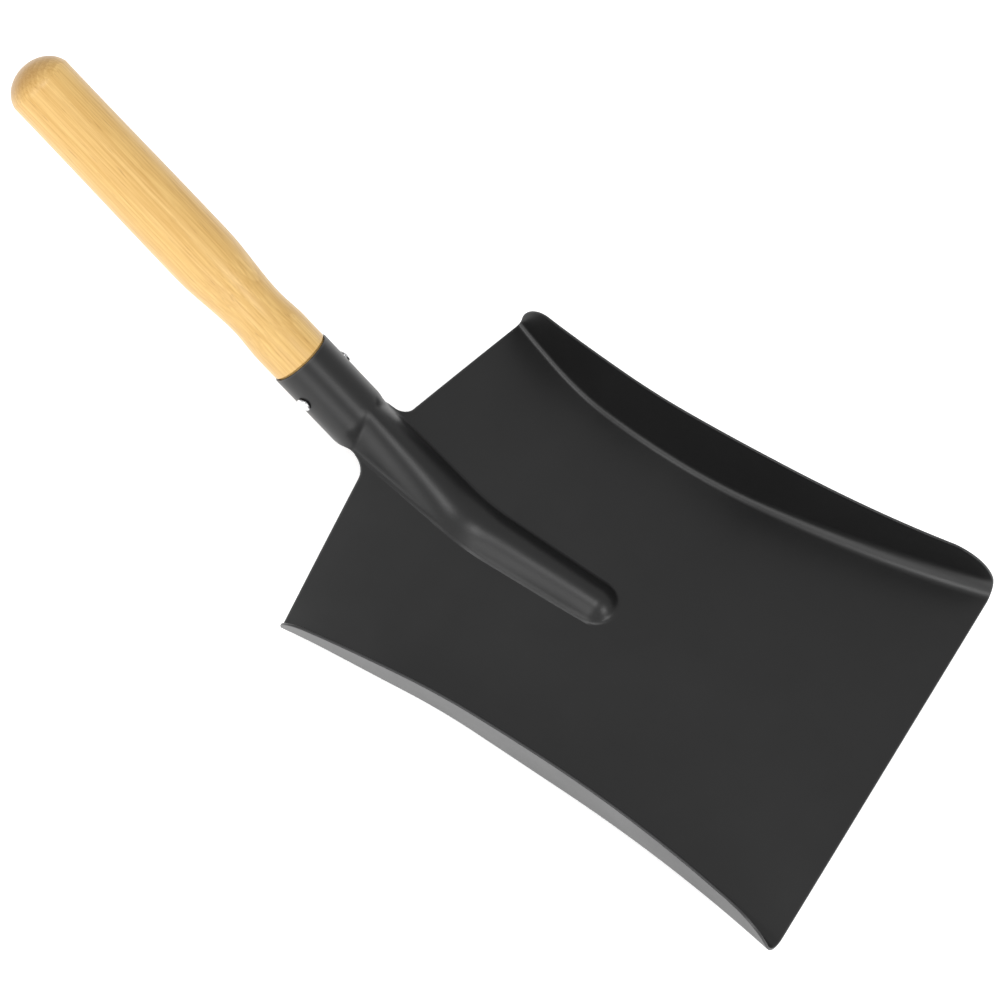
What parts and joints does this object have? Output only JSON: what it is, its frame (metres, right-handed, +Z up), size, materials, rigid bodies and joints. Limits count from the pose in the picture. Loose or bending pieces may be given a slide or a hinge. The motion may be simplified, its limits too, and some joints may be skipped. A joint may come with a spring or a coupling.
{
  "type": "hand scoop shovel",
  "caption": "Short hand scoop shovel: pressed steel pan with steep side walls, stiffening rib and rolled socket, on a turned wooden handle held by a cross rivet.",
  "frame": {"origin": "on the floor the shovel lies on, below the middle of its bounding box", "axes": "+X forward to the front edge, +Y to the left, +Z up, with the shovel lying on the flat run of its pan"},
  "size_m": [0.4942, 0.2208, 0.1665],
  "materials": {
    "blade_paint": "semi-gloss black powder coat",
    "handle_wood": "clear lacquer over a light hardwood",
    "rivet_steel": "bright plated steel"
  },
  "bodies": {
    "root": {"blade": "blade_paint", "handle": "handle_wood", "rivet": "rivet_steel"}
  },
  "joints": []
}
